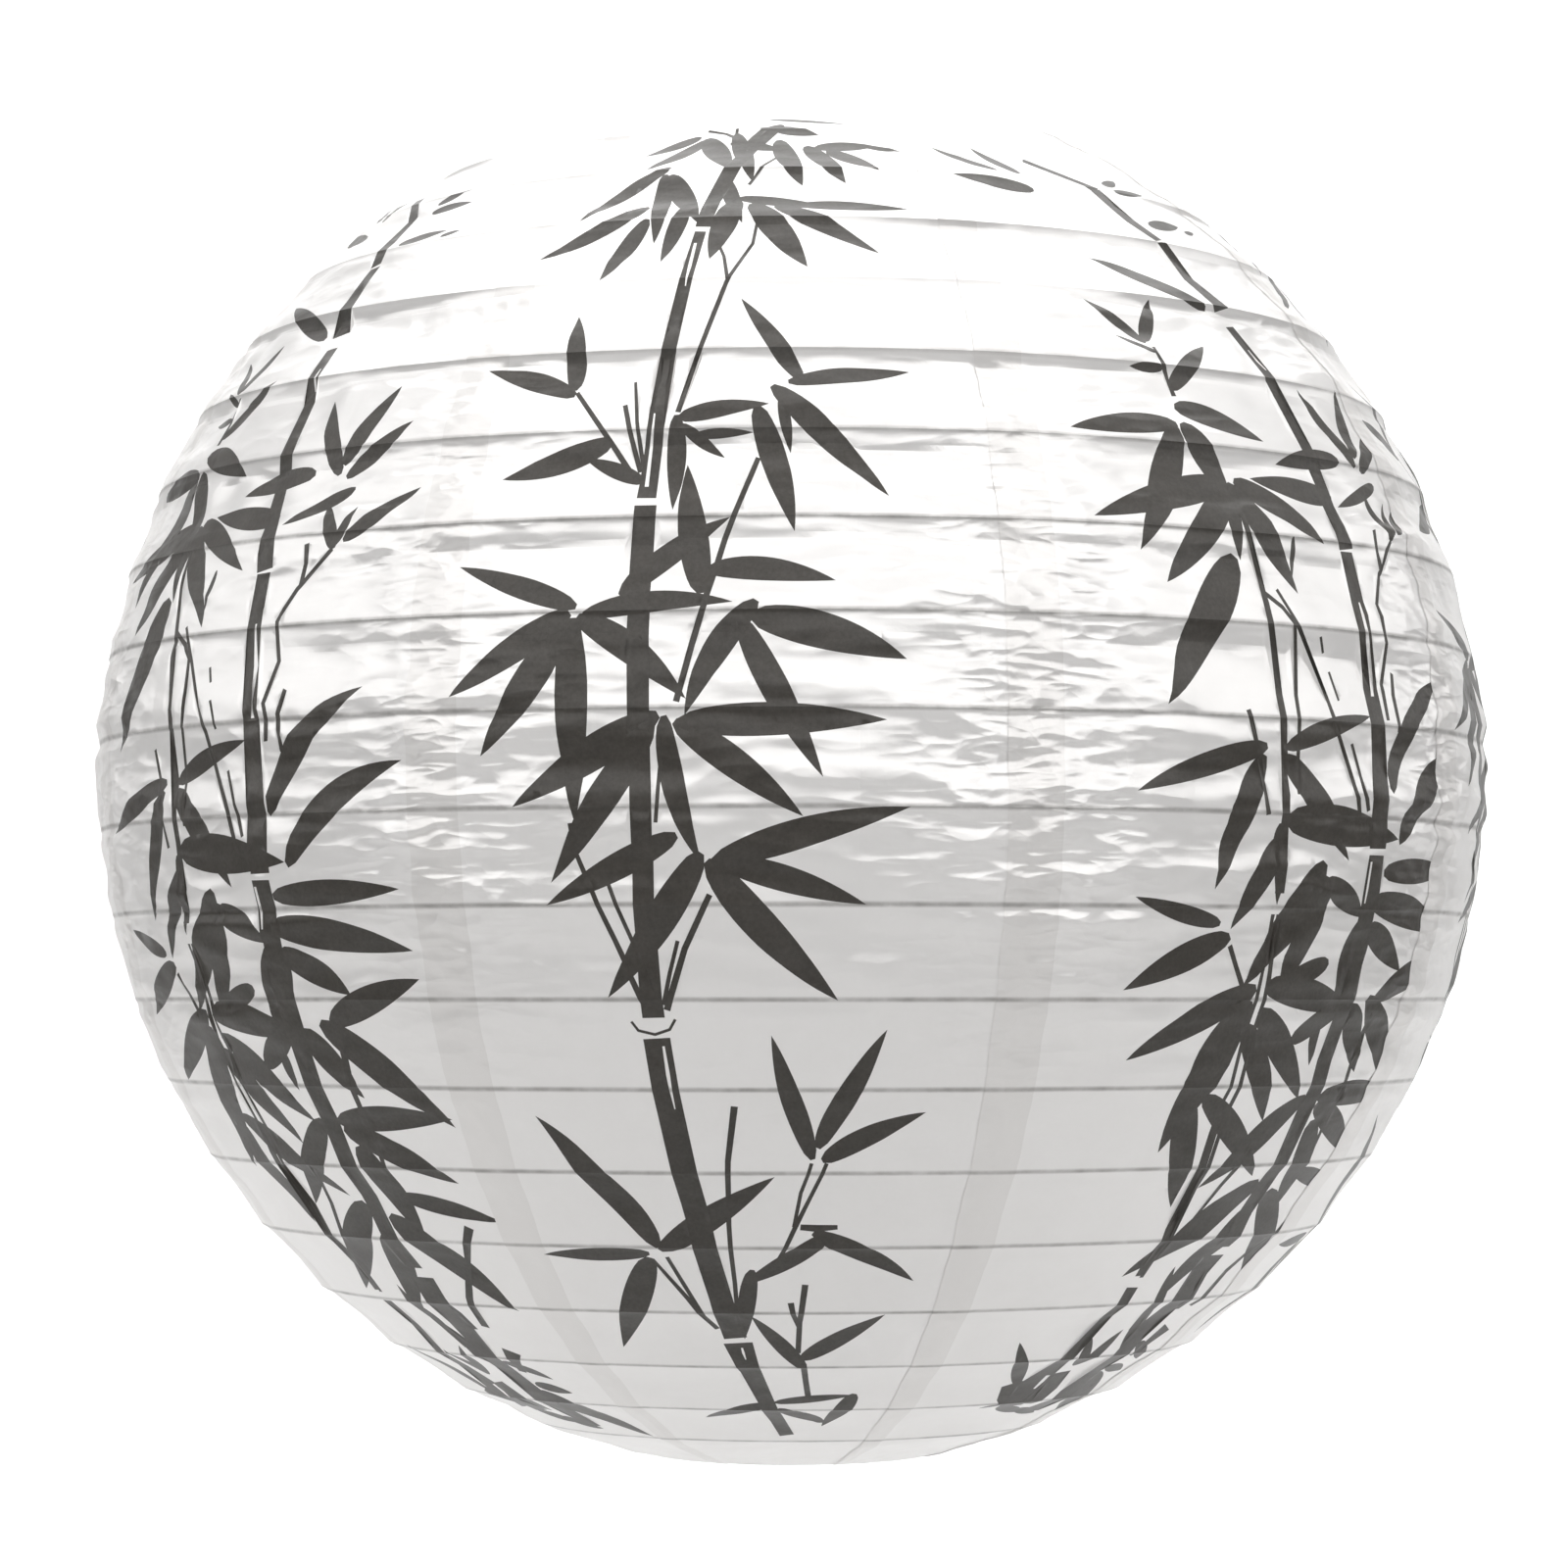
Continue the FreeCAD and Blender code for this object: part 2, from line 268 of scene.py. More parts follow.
def lattice_noise(x, y, cell_x, cell_y, seed):
    """Smooth random height from -1 to 1 that repeats once round the globe.

    Random values on a lattice of cells, blended with a smooth step in both directions.
    x and y are millimetres along the paper, as arrays.
    """
    around = 2 * math.pi * paper_radius / MM
    reach = 300
    columns = max(int(round(around / cell_x)), 2)
    rows = int(2 * reach / cell_y) + 4
    values = np.random.default_rng(seed).uniform(-1, 1, (rows, columns))
    u = np.mod(x / around, 1.0) * columns
    v = np.clip((y + reach) / cell_y, 0, rows - 2.001)
    i, j = np.floor(u).astype(int), np.floor(v).astype(int)
    fu, fv = u - i, v - j
    fu, fv = fu * fu * (3 - 2 * fu), fv * fv * (3 - 2 * fv)
    i, i_next = i % columns, (i + 1) % columns
    low = values[j, i] * (1 - fu) + values[j, i_next] * fu
    high = values[j + 1, i] * (1 - fu) + values[j + 1, i_next] * fu
    return low * (1 - fv) + high * fv


def creases(x, y, cell_x, cell_y, seed):
    """Ridges where a smooth random height crosses zero: about 0.75 on the ridge, falling to 0."""
    return 1 - (lattice_noise(x, y, cell_x, cell_y, seed) ** 2 + 0.010) ** 0.3


def seam_nearness(longitude, reach):
    """1 at the middle of a lap, falling to 0 at a number of degrees away from it."""
    lap_middle = first_seam - front - lap_width / 2
    away = np.abs(np.mod(longitude - lap_middle + gore_width / 2, gore_width) - gore_width / 2)
    return np.clip(1 - away / reach, 0, 1)


def crumpled(longitude, latitude):
    """How badly the paper is crumpled, 0 to 1: most beside the laps and round the middle."""
    patch = 0.5 + 0.5 * lattice_noise(longitude * degree_length / MM, latitude * degree_length / MM, 26, 22, 41)
    belt = np.exp(-(((latitude - 3) / 24.0) ** 2))
    return np.clip(seam_nearness(longitude, 13.0) ** 0.8 * belt * (0.55 + 0.7 * patch), 0, 1)


def folded_under(x, band, share, middle, band_length):
    """Depth in mm of the fold that tucks the paper in under each hoop of the upper half.

    A straight slope inwards that faces a little below level, down to a valley at a varying
    share of the band, then a straight slope back out. It comes and goes round the hoop, and
    fades out below the equator and towards the crown.
    """
    row = band * 40.0 - 290
    lean = np.degrees(middle)
    cover = np.interp(lean, [-9, 2, 28, 36, 46, 56], [0.0, 0.8, 0.75, 0.4, 0.08, 0.0])
    bunched = 0.45 * seam_nearness(x * MM / degree_length, 15.0)
    cover = np.clip(cover + (0.75 * lattice_noise(x, row, 75, 40, 14) + bunched) * (cover > 0), 0, 1)
    valley = 0.23 + 0.12 * lattice_noise(x, row, 58, 40, 15) + 0.07 * lattice_noise(x, row, 12, 40, 16)
    valley = np.clip(valley * (1 - np.clip((lean - 12) / 46, 0, 0.7)), 0.05, 0.45)
    slope = np.clip(np.tan(np.radians(np.clip(lean, 0, 45) + 16)) - 0.13, 0.05, 1.15)
    return cover * slope * valley * band_length * np.minimum(share / valley, (1 - share) / (1 - valley))


def swing(x, height, times):
    """A sideways wave that closes on itself round the globe, for creases that change direction."""
    return height * np.sin(times * x * MM / paper_radius)


def paper_surface(longitude, latitude, lift=0.0):
    """Points of the paper at longitudes and latitudes in degrees, as arrays, and the tuck's depth.

    Between two hoops the meridian is a straight chord, pushed inwards by a parabola for the
    hollow, by a quick dip just under the upper hoop and by part of the fold there, and moved
    by wrinkles that die out at the hoops. Longitude 0 faces the front.
    """
    band = np.clip(np.searchsorted(-hoop_latitudes, -latitude, side="right") - 1, 0, len(hoop_latitudes) - 2)
    upper, lower = np.radians(hoop_latitudes[band]), np.radians(hoop_latitudes[band + 1])
    share = np.clip((upper - np.radians(latitude)) / (upper - lower), 0, 1)
    middle = (upper + lower) / 2
    x, y = longitude * degree_length / MM, latitude * degree_length / MM
    row = band * 40.0 - 290
    hollow = 4 * share * (1 - share) * (1 + 0.45 * lattice_noise(x, row, 60, 40, 11))
    tight_end = np.where(band == len(hoop_latitudes) - 2, 0.15, 1.0)
    tuck = (1 - np.exp(-share / 0.07)) * (1 - share) ** 2
    tuck = tuck * (0.55 + 0.5 * lattice_noise(x, row, 38, 40, 12)) * np.interp(latitude, [28, 48], [1.0, 0.2])
    band_length = (upper - lower) * paper_radius / MM
    folded = folded_under(x, band, share, middle, band_length) * tight_end
    depth = (hollow_depth * hollow + tuck_depth * tuck) * tight_end + folded_part * folded

    settle = np.minimum(share, 1 - share) * band_length
    fade = 1 - np.exp(-((settle / 3.0) ** 2))
    near = seam_nearness(longitude, 9.0)
    folds = creases(x, y + swing(x, 4, 5), 62, 11, 21) * 0.6 + creases(x, y + swing(x, 5, 7), 44, 12, 22) * 0.5
    crumple = creases(x, y, 11, 8, 23) * 0.6 + creases(x + 0.6 * y, y + swing(x, 9, 11), 8, 9, 24) * 0.5
    quiet = 0.65 + 0.35 * lattice_noise(x, y, 50, 28, 25)
    rumple = 0.35 + 0.95 * np.exp(-(((latitude - 6) / 32.0) ** 4))
    wrinkle = fold_height * folds * quiet * rumple + crumple_height * crumple * (near ** 1.2 + 0.08 * quiet)
    wrinkle = wrinkle * fade * np.interp(latitude, [-40, -20], [0.6, 1.0])

    outward = np.stack([np.cos(middle), np.sin(middle)])
    start = paper_radius * np.stack([np.cos(upper), np.sin(upper)])
    finish = paper_radius * np.stack([np.cos(lower), np.sin(lower)])
    meridian = start + (finish - start) * share + outward * ((wrinkle - depth) * MM + lift)
    turn = np.radians(front + longitude)
    out, up = meridian
    return np.stack([out * np.cos(turn), out * np.sin(turn), up + shade_middle], axis=-1), folded


def crown_stretch(outline):
    """Lifts the crown of the print: by nothing at 25 degrees, rising to 1.5 degrees at 55."""
    return outline + np.stack([0 * outline[:, 0], 1.5 * np.clip((outline[:, 1] - 25) / 30, 0, 1.2)], axis=1)


def leaf_outline(leaf):
    """Outline of one bamboo leaf, from (longitude, latitude) of its base and tip.

    The half width rises fast from the base and runs out slowly to a point; the middle line
    bows sideways by a share of the length. Width is in millimetres.
    """
    base_x, base_y, tip_x, tip_y, width, bow = leaf
    flat = math.cos(math.radians((base_y + tip_y) / 2))
    scale = degree_length / MM
    base = np.array([base_x * flat, base_y]) * scale
    along = np.array([tip_x * flat, tip_y]) * scale - base
    across = np.array([-along[1], along[0]]) / np.linalg.norm(along)
    share = np.linspace(0, 1, 17)
    half = width / 2 * 2.87 * share ** 0.62 * (1 - share) ** 0.95 + 0.12 * width * (1 - share) ** 8
    half[-1] = 0
    sideways = np.linalg.norm(along) * bow * 2 * share * (1 - share)
    middle = base + along * share[:, None] + across * sideways[:, None]
    edge = np.concatenate([middle + across * half[:, None], (middle - across * half[:, None])[-2::-1]])
    return crown_stretch(edge / (scale * np.array([flat, 1.0])))


def stem_outline(stem):
    """Outline of a stalk or twig through (longitude, latitude, width) points, square at its ends."""
    points = np.array(stem, float)
    flat = np.cos(np.radians(points[:, 1]))
    scale = degree_length / MM
    line = np.stack([points[:, 0] * flat.mean(), points[:, 1]], axis=1) * scale
    step = np.gradient(line, axis=0)
    across = np.stack([-step[:, 1], step[:, 0]], axis=1) / np.linalg.norm(step, axis=1)[:, None]
    half = points[:, 2:3] / 2
    edge = np.concatenate([line + across * half, (line - across * half)[::-1]])
    return crown_stretch(edge / (scale * np.array([flat.mean(), 1.0])))


# The print on the odd gores: one tall stalk with a crown, three middle sprays and a foot.
# Leaves are base longitude and latitude, tip longitude and latitude, width and bow.
tall_leaves = [
    (-13.2, 56.1, -20.2, 53.3, 4.1, 0.025), (-12.0, 55.6, -18.4, 50.4, 4.8, 0.03),
    (-12.2, 55.8, -7.6, 50.0, 7.2, 0.04), (-8.5, 54.9, -1.0, 53.4, 5.0, 0.015),
    (-1.8, 55.2, 1.3, 48.1, 6.5, -0.02), (2.0, 54.2, 6.4, 48.4, 6.2, 0.025),
    (4.8, 53.5, 10.8, 50.1, 5.8, 0.03), (3.2, 53.9, 12.0, 54.6, 5.3, 0.04),
    (9.6, 54.6, 15.2, 53.8, 2.6, 0.01), (-2.6, 57.1, 4.0, 56.1, 5.3, 0.02),
    (-1.4, 58.3, -7.2, 52.8, 5.5, -0.025), (-3.6, 59.7, 8.8, 58.6, 3.4, 0.015),
    (-4.8, 57.2, 0.6, 57.6, 2.9, 0.015), (-8.0, 56.4, -4.6, 48.6, 5.5, 0.015),
    (-15.2, 50.7, -23.4, 43.8, 4.8, -0.07), (-15.9, 45.4, -26.0, 39.8, 5.6, 0.05),
    (-15.5, 49.7, -14.1, 41.0, 5.2, 0.045), (-15.4, 43.6, -18.4, 36.9, 5.4, -0.02),
    (-14.8, 49.6, -9.8, 43.0, 6.4, 0.035), (-11.3, 45.6, -12.8, 38.8, 5.0, -0.02),
    (-6.0, 46.2, -8.0, 38.9, 7.0, -0.025), (-4.4, 45.6, 1.5, 38.0, 7.8, 0.04),
    (-1.8, 45.2, 8.7, 39.7, 6.2, 0.045), (-6.0, 46.4, 5.0, 44.8, 4.6, 0.01),
    (0.4, 45.3, 12.8, 44.8, 4.8, 0.035), (-7.8, 49.0, -5.2, 43.0, 4.6, -0.015),
    (0.8, 27.4, -4.6, 34.9, 5.0, -0.03), (-0.3, 27.2, 9.9, 28.3, 5.0, 0.02),
    (-1.6, 26.8, 7.4, 17.9, 6.6, 0.03), (-0.9, 25.8, -0.1, 21.4, 3.0, 0.015),
    (-2.8, 25.0, 0.2, 15.1, 6.8, 0.03), (-9.0, 24.2, -1.8, 25.2, 4.8, 0.05),
    (-9.2, 24.4, -9.0, 16.8, 5.0, 0.025), (-8.8, 23.7, -5.2, 21.0, 3.2, -0.025),
    (-7.8, 22.8, -3.0, 23.0, 2.8, 0.02), (-6.6, 10.4, -8.1, 20.5, 7.6, 0.02),
    (-12.6, 10.3, -4.6, 16.2, 6.2, 0.085), (-18.1, 26.6, -26.7, 29.0, 5.6, -0.06),
    (-18.3, 27.0, -19.6, 33.8, 5.4, -0.04), (-14.3, 22.5, -23.1, 19.7, 6.8, 0.05),
    (-11.5, 19.2, -16.4, 21.2, 4.4, -0.025),
    (-15.9, 9.6, -25.6, 12.9, 5.8, -0.01), (-16.4, 9.2, -25.6, 3.2, 7.6, -0.02),
    (-16.6, 8.6, -23.1, -1.1, 8.4, 0.03), (-16.2, 8.8, -15.8, -6.1, 8.6, 0),
    (-15.8, 8.9, -7.6, 2.8, 7.4, 0.09), (-15.4, 9.0, -4.3, 9.8, 5.4, 0.09),
    (-2.9, 8.8, 8.3, 5.7, 9.4, 0.055), (-2.6, 9.9, -7.7, 1.6, 6.8, -0.12),
    (-3.8, 8.6, 2.2, -2.8, 7.2, -0.01), (-6.2, 12.3, 3.2, 11.4, 6.4, 0.09),
    (-8.2, 1.1, 6.8, 1.3, 8.4, 0.02), (-9.6, 1.7, -20.6, -4.8, 8.6, -0.02),
    (-10.0, 1.2, -17.9, -10.3, 8.2, 0), (-8.4, 1.2, 0.8, -5.6, 7.6, 0.025),
    (-9.2, 1.6, -6.6, -9.0, 6.0, -0.09), (-8.3, -6.9, -18.3, -11.9, 6.8, 0),
    (-6.6, -8.2, -14.1, -18.8, 8.2, 0.04), (-6.2, -8.8, 3.5, -19.0, 8.6, -0.05),
    (-5.6, -8.7, 5.4, -11.9, 6.8, 0.02), (-5.8, -8.9, 8.5, -4.9, 7.6, 0.04),
    (-12.9, -40.0, -21.9, -28.3, 7.6, -0.03), (-14.1, -40.8, -25.4, -41.1, 5.4, 0.01),
    (-14.2, -41.3, -21.3, -52.0, 7.6, 0.025), (-12.9, -40.4, -1.5, -33.4, 7.2, -0.035),
    (1.8, -31.9, -1.6, -21.7, 5.6, 0.025), (2.2, -31.0, 7.4, -21.3, 6.0, 0.02),
    (2.6, -32.0, 11.1, -27.9, 5.8, 0.04), (3.4, -38.9, -5.4, -44.3, 5.6, 0.05),
    (2.0, -38.7, 12.7, -43.8, 5.6, 0.06), (-4.0, -42.5, -5.6, -50.7, 4.6, -0.02),
    (1.8, -54.4, -4.5, -47.6, 4.8, 0.04), (1.2, -53.2, 10.4, -47.4, 6.0, -0.04),
    (-3.6, -60.2, -15.2, -63.6, 4.8, -0.06), (-2.6, -60.0, 9.7, -59.0, 3.6, 0.02),
    (-2.2, -61.0, 6.6, -64.6, 4.8, -0.025), (9.4, -58.8, 5.6, -65.2, 5.0, 0.03),
    (5.4, -64.4, 2.2, -61.9, 3.4, 0.015),
]
tall_stems = [
    [(-1.8, 57.6, 3.4), (-5.6, 53.6, 4.6), (-7.6, 49.6, 4.6), (-8.8, 46.0, 4.0), (-9.2, 42.6, 3.8)],
    [(-9.4, 42.1, 3.6), (-9.9, 37.0, 3.7), (-10.5, 30.0, 3.9), (-10.9, 22.0, 4.2), (-11.1, 17.8, 4.6)],
    [(-11.1, 17.2, 5.8), (-11.2, 8.0, 5.6), (-10.9, -4.0, 5.4), (-10.9, -14.0, 5.4), (-10.7, -20.4, 6.0)],
    [(-10.6, -22.0, 6.0), (-10.0, -28.0, 6.2), (-9.0, -36.0, 6.4), (-7.6, -45.5, 7.0), (-6.7, -50.6, 7.8)],
    [(-6.5, -51.2, 6.4), (-5.4, -55.0, 5.0), (-4.0, -59.6, 4.6), (-2.4, -64.0, 4.8), (-0.9, -67.0, 5.2)],
    [(-12.5, -20.7, 0.7), (-12.0, -21.4, 0.8), (-10.7, -21.7, 0.8), (-9.5, -21.3, 0.8), (-9.0, -20.5, 0.7)],
    [(-5.0, 48.2, 1.0), (-3.4, 50.6, 1.0), (-1.8, 52.2, 1.0)],
    [(-3.6, 43.0, 0.9), (-3.9, 40.7, 1.0), (-6.1, 36.4, 1.2), (-7.7, 30.5, 1.2), (-9.1, 24.6, 1.3)],
    [(-7.3, 40.6, 0.8), (-6.6, 39.2, 0.9), (-6.0, 36.7, 1.0)],
    [(-2.6, 21.0, 1.4), (-5.0, 14.5, 1.5), (-7.2, 6.8, 1.6), (-8.3, 2.6, 1.6)],
    [(-18.0, 26.8, 1.2), (-14.3, 22.3, 1.4), (-12.0, 19.2, 1.6)],
    [(-13.1, 27.6, 0.8), (-12.4, 24.0, 1.0), (-11.6, 20.4, 1.1)],
    [(-13.6, 25.5, 1.3), (-12.7, 22.6, 1.3), (-11.8, 20.0, 1.3)],
    [(-12.4, 56.9, 0.9), (-9.6, 56.4, 1.1), (-7.8, 55.6, 1.4)],
    [(-8.1, 57.4, 0.8), (-8.0, 56.0, 1.0), (-7.6, 54.6, 1.2)],
    [(-15.1, -10.0, 1.2), (-13.3, -14.6, 1.4), (-11.3, -19.4, 1.6)],
    [(-13.8, -9.6, 1.0), (-12.2, -14.0, 1.1), (-10.5, -18.8, 1.2)],
    [(-6.0, -11.2, 1.5), (-8.0, -15.2, 1.6), (-9.6, -19.8, 1.8)],
    [(-8.5, -14.6, 1.0), (-9.2, -17.0, 1.1), (-9.8, -19.4, 1.2)],
    [(-9.4, -1.0, 1.0), (-9.6, -3.4, 1.0), (-9.8, -6.0, 1.0)],
    [(-16.2, -6.0, 1.2), (-16.0, -8.0, 1.2), (-15.0, -10.4, 1.3)],
    [(-14.0, -41.5, 1.2), (-11.2, -45.6, 1.4), (-8.6, -49.4, 1.6)],
    [(-12.4, -41.2, 1.1), (-11.4, -44.0, 1.2), (-9.8, -47.4, 1.3)],
    [(3.0, -32.2, 1.0), (1.4, -36.0, 1.1), (-1.2, -41.2, 1.3)],
    [(1.7, -32.2, 0.9), (0.8, -35.0, 1.0), (0.2, -38.2, 1.1)],
    [(-4.7, -27.4, 1.6), (-5.5, -32.0, 1.4), (-5.9, -38.0, 1.3), (-5.9, -44.0, 1.3), (-6.0, -49.6, 1.5)],
    [(1.4, -44.1, 1.6), (0.9, -48.4, 1.5), (0.8, -52.4, 1.6)],
    [(-0.1, -46.0, 1.6), (0.2, -47.4, 1.4), (0.8, -49.0, 1.3)],
    [(1.6, -54.2, 1.6), (2.0, -56.8, 1.6), (2.6, -59.6, 1.8)],
    [(0.8, -38.2, 1.8), (2.4, -38.3, 2.2), (4.3, -38.2, 1.4)],
]
tall_gaps = [
    [(-9.7, 40.8, 0.8), (-9.8, 38.2, 0.9), (-9.9, 36.2, 0.3)],
    [(-11.0, 24.6, 0.4), (-11.1, 22.0, 0.8), (-11.2, 18.8, 1.0)],
    [(-10.1, -22.6, 0.6), (-9.9, -24.8, 1.0), (-9.6, -27.6, 0.3)],
    [(-6.1, -51.8, 0.5), (-6.0, -52.4, 0.7), (-5.8, -53.2, 0.3)],
]

# The print on the even gores: a leaning stalk and a thin one behind a heavy mass of leaves.
# Longitudes here are measured from the same front as the odd gore's.
twin_leaves = [
    (30.8, 49.0, 20.2, 50.1, 5.4, 0.025), (27.4, 51.5, 19.8, 54.8, 3.4, -0.02),
    (30.6, 51.2, 26.3, 55.3, 3.8, -0.025), (45.2, 51.3, 50.0, 52.8, 3.4, -0.025),
    (45.6, 50.3, 52.5, 50.8, 3.4, 0.015), (46.1, 46.0, 53.2, 46.9, 4.8, 0.02),
    (53.2, 46.0, 55.8, 46.5, 2.2, 0.015), (44.3, 36.5, 31.9, 40.8, 5.6, -0.025),
    (33.6, 32.2, 28.4, 35.9, 3.8, -0.015), (33.5, 32.4, 36.6, 36.6, 4.6, -0.02),
    (34.1, 31.2, 30.2, 32.6, 2.0, 0.01), (34.2, 29.9, 30.6, 29.8, 2.8, 0.025),
    (34.5, 28.2, 40.9, 32.6, 5.2, 0.03), (34.2, 26.7, 43.0, 24.2, 7.2, 0.065),
    (33.6, 25.0, 22.9, 24.0, 6.6, -0.05), (33.3, 24.8, 27.4, 14.4, 9.2, 0.03),
    (34.2, 25.2, 37.4, 18.4, 8.4, 0.04), (37.4, 20.4, 23.6, 16.8, 8.6, -0.03),
    (37.0, 19.8, 29.4, 12.0, 8.8, 0.025), (36.6, 20.2, 37.0, 14.1, 5.0, 0.02),
    (37.4, 20.4, 42.6, 11.8, 8.4, 0.04), (38.3, 20.7, 47.0, 16.0, 7.2, 0.04),
    (50.2, 20.0, 40.2, 21.0, 7.0, 0.01), (36.4, 14.4, 28.4, 2.8, 11.4, -0.025),
    (53.2, 23.5, 43.8, 22.4, 6.0, -0.05), (43.2, 16.3, 42.3, 13.0, 1.8, 0.015),
    (56.0, 23.2, 52.1, 29.7, 5.4, 0.025), (56.2, 24.0, 59.9, 30.4, 5.8, 0.02),
    (56.9, 22.9, 62.8, 27.0, 5.0, 0.025), (58.3, 21.9, 50.8, 19.4, 3.8, 0.025),
    (57.6, 17.0, 55.6, 20.9, 4.6, 0.02), (58.4, 17.6, 65.1, 21.5, 4.8, 0.03),
    (57.5, 17.2, 59.0, 20.4, 3.0, 0.015), (52.6, -2.8, 62.2, 6.3, 7.6, 0.22),
    (54.4, -6.6, 65.8, 0.8, 8.2, 0.2), (39.8, 0.0, 50.0, 2.8, 5.6, 0.05),
    (37.8, 0.1, 25.9, -3.5, 6.4, -0.035), (37.5, -0.6, 33.3, -10.6, 7.8, -0.04),
    (39.8, -0.6, 47.4, -8.2, 8.2, 0.03), (40.0, -5.3, 54.2, -6.4, 10.6, 0.02),
    (39.8, -6.6, 35.5, -13.6, 7.0, -0.02), (39.4, -5.6, 39.8, -11.7, 4.8, 0.015),
    (52.3, -9.0, 65.0, -8.6, 6.8, 0.01), (51.5, -11.2, 65.3, -13.3, 8.8, 0.025),
    (44.9, -9.8, 50.8, -12.5, 7.0, 0.025), (34.4, -13.2, 26.2, -11.2, 4.8, 0.03),
    (35.5, -14.1, 26.2, -18.2, 7.2, -0.04), (44.6, -8.4, 37.6, -18.0, 9.4, 0.02),
    (45.0, -9.4, 41.6, -18.8, 9.6, 0.01), (47.4, -16.0, 40.6, -18.3, 6.0, -0.02),
    (39.2, -18.0, 27.9, -23.8, 8.6, -0.03), (38.8, -19.0, 34.0, -31.6, 12.0, -0.03),
    (40.2, -17.8, 52.0, -19.8, 8.8, 0.025), (40.4, -19.8, 49.2, -27.2, 8.8, 0.025),
    (39.2, -21.0, 45.8, -29.2, 8.0, 0.03), (35.4, -27.0, 39.0, -37.0, 8.8, -0.03),
    (37.0, -26.8, 48.2, -34.2, 7.6, 0.03), (51.5, -12.4, 49.4, -20.0, 12.0, 0.01),
    (51.8, -13.2, 58.6, -16.6, 7.8, 0.035), (55.6, -18.8, 65.6, -15.4, 8.0, 0.03),
    (54.4, -18.8, 65.6, -27.4, 9.4, 0.04), (52.1, -19.4, 56.8, -25.0, 8.4, 0.02),
    (52.3, -27.1, 65.5, -26.7, 7.8, 0.03), (52.6, -27.7, 63.8, -32.4, 7.8, 0.03),
    (53.6, -29.2, 56.5, -37.9, 9.6, 0.03), (55.6, -33.9, 66.9, -36.0, 5.8, 0.02),
    (52.9, -35.8, 63.0, -45.7, 10.4, 0.03), (50.2, -27.0, 41.1, -35.2, 8.6, -0.015),
    (50.0, -34.8, 38.0, -44.2, 10.4, -0.02), (51.8, -37.2, 46.2, -46.8, 9.8, -0.025),
    (48.2, -20.6, 49.0, -24.4, 4.0, 0.015), (45.4, -22.4, 52.3, -18.4, 7.4, 0.02),
    (36.4, -58.6, 29.7, -51.8, 4.8, 0.03), (43.7, -55.8, 41.3, -51.7, 4.0, 0.02),
    (43.3, -55.8, 46.2, -51.0, 4.6, -0.025), (49.8, -53.8, 47.3, -47.8, 4.6, 0.025),
    (47.4, -49.0, 45.6, -43.4, 4.0, 0.02), (52.5, -52.8, 58.2, -55.6, 4.4, 0.025),
    (51.5, -59.0, 65.0, -66.0, 7.6, 0.025), (52.0, -57.6, 59.5, -61.8, 6.6, 0.03),
    (53.1, -56.6, 59.3, -57.6, 4.8, 0.025), (38.4, -62.6, 47.8, -64.4, 5.0, -0.03),
    (45.0, -63.6, 53.7, -65.0, 4.4, -0.03), (41.2, -60.4, 33.6, -62.4, 4.2, -0.03),
]
